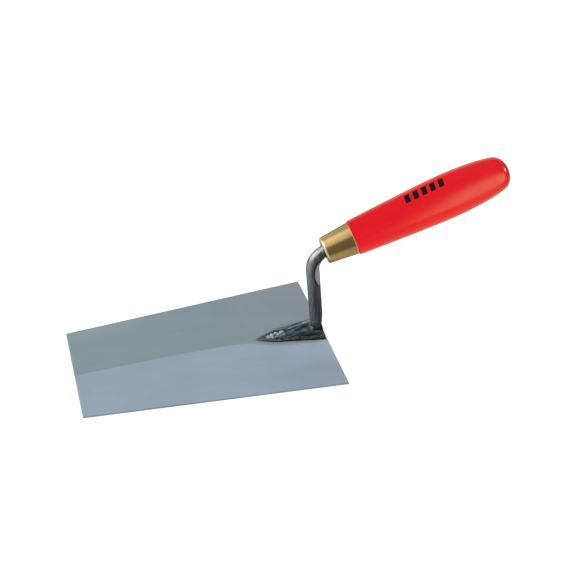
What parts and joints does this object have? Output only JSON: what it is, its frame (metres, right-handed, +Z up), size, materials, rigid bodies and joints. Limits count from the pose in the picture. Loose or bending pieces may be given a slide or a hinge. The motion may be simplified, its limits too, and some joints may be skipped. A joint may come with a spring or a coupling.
{
  "type": "plastering trowel",
  "caption": "Flat tapered steel trowel blade with a forged swan neck, a brass ferrule and a turned red handle set above and in line with the blade.",
  "frame": {"origin": "centre of the blade's flat working face, halfway between its front and heel edges", "axes": "+X from the blade's narrow front edge towards its heel and the handle, +Y to the blade's left seen from the handle, +Z up, away from the working face"},
  "size_m": [0.3433, 0.1298, 0.1421],
  "materials": {
    "ground_steel": "ground satin, bluish, fine lengthwise and crosswise grinding marks",
    "forged_steel": "forged and tumbled, dark grey scale worn bright along the edges",
    "weld_metal": "as-laid weld metal, uneven and glossy, bluish to olive heat tint",
    "brass": "drawn and lightly polished, slightly tarnished",
    "red_lacquer": "turned beech under thick glossy red lacquer"
  },
  "bodies": {
    "root": {"blade": "ground_steel", "neck": "forged_steel", "toe_weld": "weld_metal", "seam_weld_left": "weld_metal", "seam_weld_right": "weld_metal", "ferrule": "brass", "handle": "red_lacquer"}
  },
  "joints": []
}
